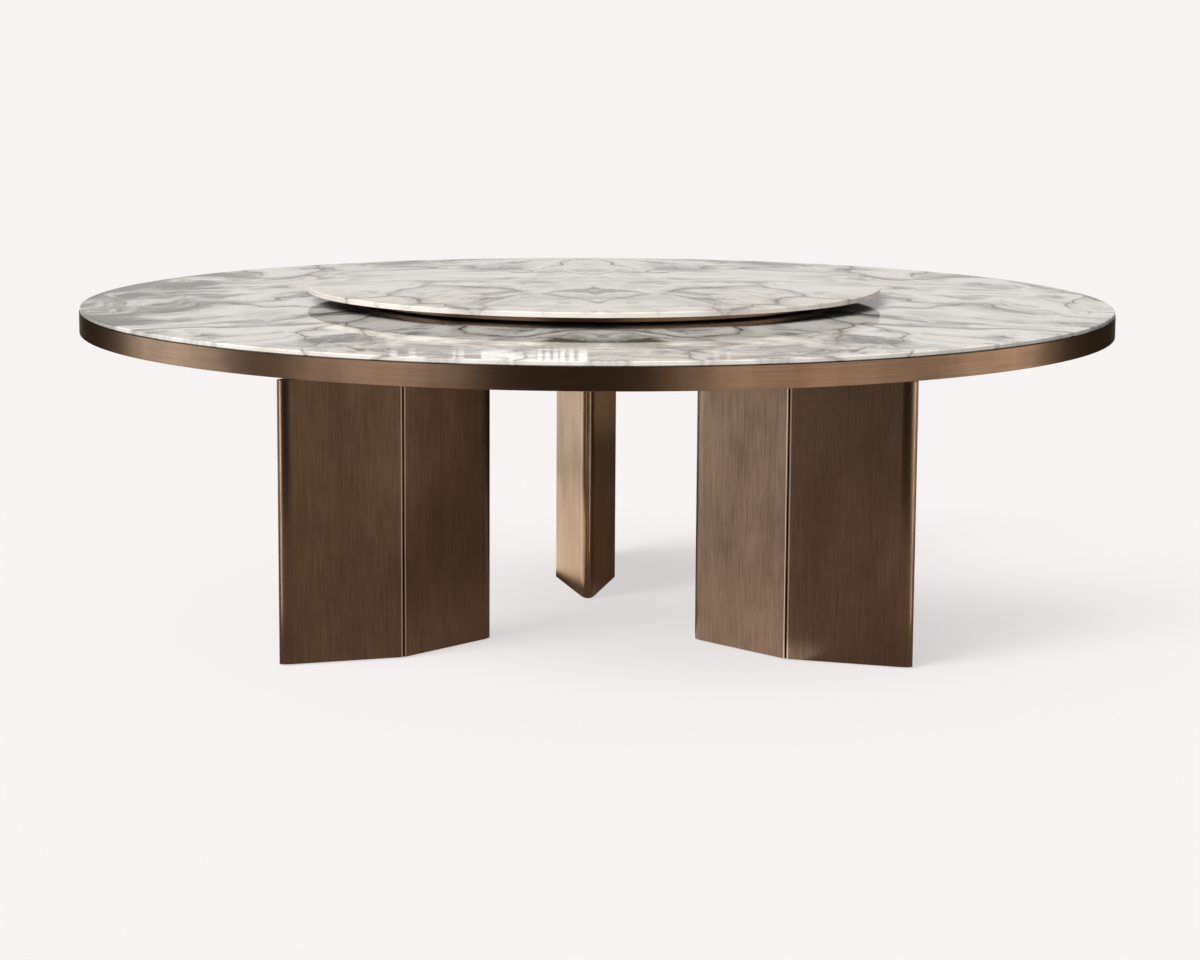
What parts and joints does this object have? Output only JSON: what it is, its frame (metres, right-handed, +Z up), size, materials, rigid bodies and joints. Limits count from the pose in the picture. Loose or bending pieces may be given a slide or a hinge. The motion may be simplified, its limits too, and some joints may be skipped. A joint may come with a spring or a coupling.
{
  "type": "round dining table",
  "caption": "Round dining table with a polished marble top in a bronze rim, a marble turntable on a ball bearing, and kite-plan legs clad in folded bronze sheet.",
  "frame": {"origin": "on the floor, on the table's vertical axis", "axes": "+Z up along the turntable's axis, -Y towards the front between two legs, +X to the right"},
  "size_m": [2.2998, 2.2998, 0.791],
  "materials": {
    "marble": "polished, cloudy grey and taupe veining, bookmatched",
    "bronze": "fine brushed dark bronze, satin lacquer",
    "black_steel": "matt black powder coat",
    "board": "plywood stained black",
    "glide": "moulded",
    "pad": "matt",
    "race": "turned",
    "cage": "moulded",
    "ball": "polished",
    "fastener": "blackened"
  },
  "bodies": {
    "table": {"arm_end_caps": "black_steel", "back_arm": "black_steel", "back_base_plate": "black_steel", "back_foot_plate": "black_steel", "back_formers": "board", "back_glides": "glide", "back_head_plate": "black_steel", "back_inner_shell": "bronze", "back_outer_shell": "bronze", "back_post": "black_steel", "back_top_plate": "black_steel", "bearing_pads": "pad", "core_board_back": "board", "core_board_front": "board", "edge_build_up": "board", "front_left_arm": "black_steel", "front_left_base_plate": "black_steel", "front_left_foot_plate": "black_steel", "front_left_formers": "board", "front_left_glides": "glide", "front_left_head_plate": "black_steel", "front_left_inner_shell": "bronze", "front_left_outer_shell": "bronze", "front_left_post": "black_steel", "front_left_top_plate": "black_steel", "front_right_arm": "black_steel", "front_right_base_plate": "black_steel", "front_right_foot_plate": "black_steel", "front_right_formers": "board", "front_right_glides": "glide", "front_right_head_plate": "black_steel", "front_right_inner_shell": "bronze", "front_right_outer_shell": "bronze", "front_right_post": "black_steel", "front_right_top_plate": "black_steel", "hub_base_plate": "black_steel", "hub_head_plate": "black_steel", "hub_tube": "black_steel", "leg_bolts": "fastener", "lower_race": "race", "rim_band": "bronze", "top_screws": "fastener", "top_slab_left": "marble", "top_slab_right": "marble"},
    "ball_cage": {"ball_cage": "cage", "bearing_balls": "ball"},
    "turntable": {"turntable_board": "board", "turntable_skirt": "bronze", "turntable_slab_left": "marble", "turntable_slab_right": "marble", "upper_race": "race", "race_screws": "fastener"}
  },
  "joints": [
    {"name": "turntable_spin", "type": "hinge", "parent": "table", "child": "turntable", "pos_m": [0, 0, 0.7635], "axis": [0, 0, 1], "continuous": true},
    {"name": "cage_spin", "type": "hinge", "parent": "table", "child": "ball_cage", "pos_m": [0, 0, 0.7625], "axis": [0, 0, 1], "continuous": true}
  ],
  "couplings": [
    {"joint": "cage_spin", "follows": "turntable_spin", "ratio": 0.5}
  ]
}
